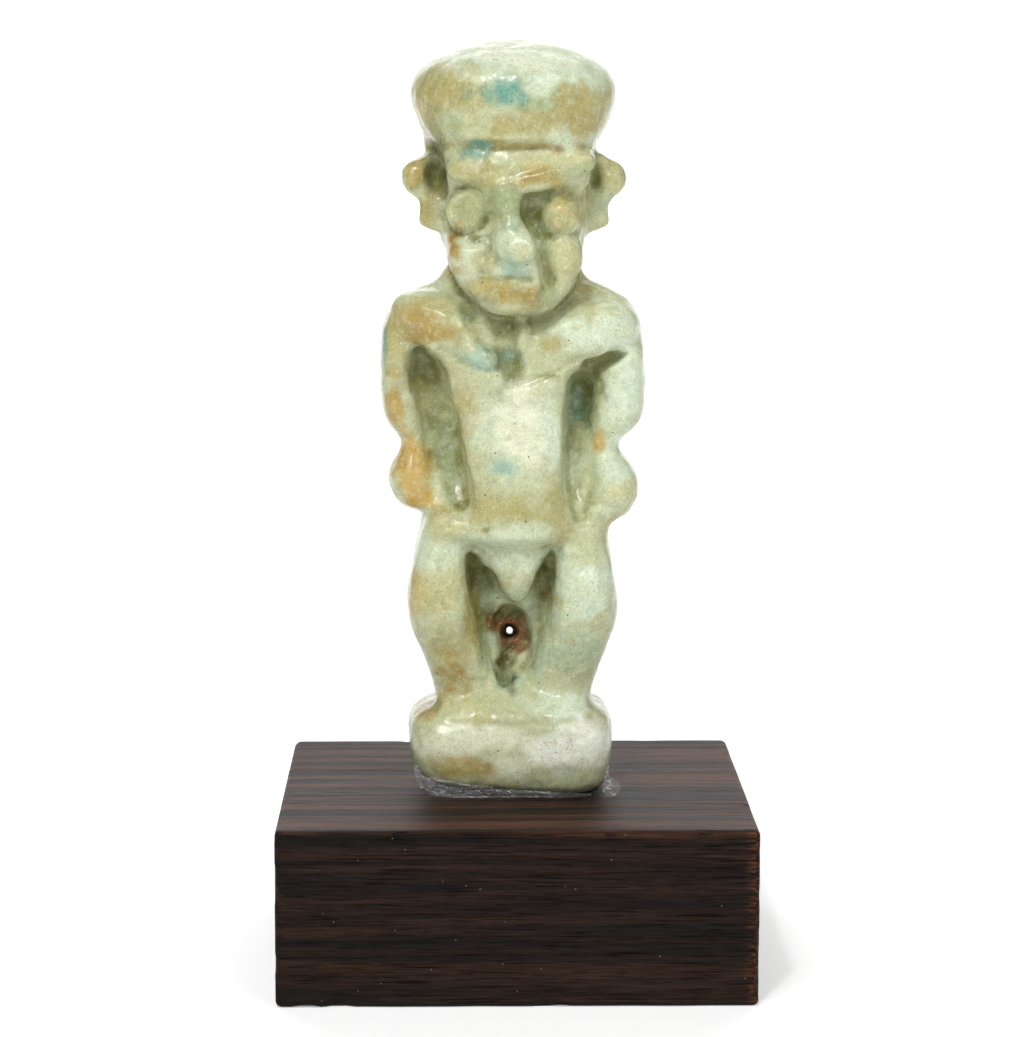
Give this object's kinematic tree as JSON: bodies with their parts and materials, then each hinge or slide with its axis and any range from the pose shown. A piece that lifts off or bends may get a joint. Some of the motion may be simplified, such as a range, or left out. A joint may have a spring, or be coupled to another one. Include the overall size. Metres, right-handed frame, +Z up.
{
  "type": "faience amulet",
  "caption": "Small glazed faience amulet of a standing dwarf figure with a flat cap, back pillar and string hole, glued to a square hardwood display block.",
  "frame": {"origin": "middle of the display block's underside", "axes": "+Z up along the figure, -Y the way the figure faces, +X to the right seen from in front"},
  "size_m": [0.025, 0.025, 0.0497],
  "materials": {
    "faience": "worn satin glaze",
    "glue": "clear, glossy",
    "hardwood": "polished dark hardwood"
  },
  "bodies": {
    "root": {"faience_amulet": "faience", "glue_bead": "glue", "display_block": "hardwood"}
  },
  "joints": []
}
